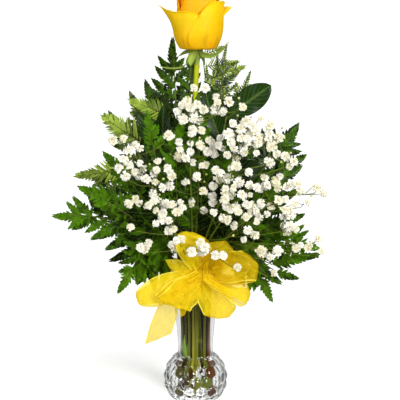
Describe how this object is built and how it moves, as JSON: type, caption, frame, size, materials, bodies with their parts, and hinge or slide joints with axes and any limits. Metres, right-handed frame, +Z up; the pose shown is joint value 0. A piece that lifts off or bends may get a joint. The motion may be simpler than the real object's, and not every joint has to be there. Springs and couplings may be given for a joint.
{
  "type": "rose in a bud vase",
  "caption": "Yellow rose with fern, glossy leaves and gypsophila standing in a hobnail glass bud vase with water, tied with an organza bow.",
  "frame": {"origin": "centre of the vase's flat foot", "axes": "+Z up along the vase; -Y is the front, where the bow is; +X to the viewer's right"},
  "size_m": [0.296, 0.178, 0.4531],
  "materials": {
    "clear_glass": "clear moulded glass, polished",
    "clear_water": "still clear water",
    "yellow_petal": "velvety petal, slightly translucent",
    "rose_green": "satin stem and sepals",
    "dark_fern": "leathery frond, soft shine",
    "light_fern": "young frond, soft shine",
    "glossy_leaf": "waxy leaf, high shine",
    "white_floret": "matt ruffled floret on a thin green twig",
    "yellow_organza": "sheer woven ribbon with a bright edge"
  },
  "bodies": {
    "root": {"vase": "clear_glass", "water": "clear_water", "rose_bloom": "yellow_petal", "rose_stem": "rose_green", "fern_left_low": "dark_fern", "fern_right_low": "dark_fern", "fern_left_side": "dark_fern", "fern_right_side": "dark_fern", "fern_left_middle": "light_fern", "fern_right_middle": "dark_fern", "fern_left_upper": "light_fern", "fern_left_tall": "dark_fern", "fern_right_tall": "light_fern", "fern_back": "dark_fern", "leaves_right": "glossy_leaf", "leaves_left": "glossy_leaf", "gypsophila_left": "white_floret", "gypsophila_left_low": "white_floret", "gypsophila_centre": "white_floret", "gypsophila_right": "white_floret", "gypsophila_right_front": "white_floret", "gypsophila_right_out": "white_floret", "gypsophila_back_left": "white_floret", "gypsophila_back_right": "white_floret", "bow": "yellow_organza"}
  },
  "joints": []
}
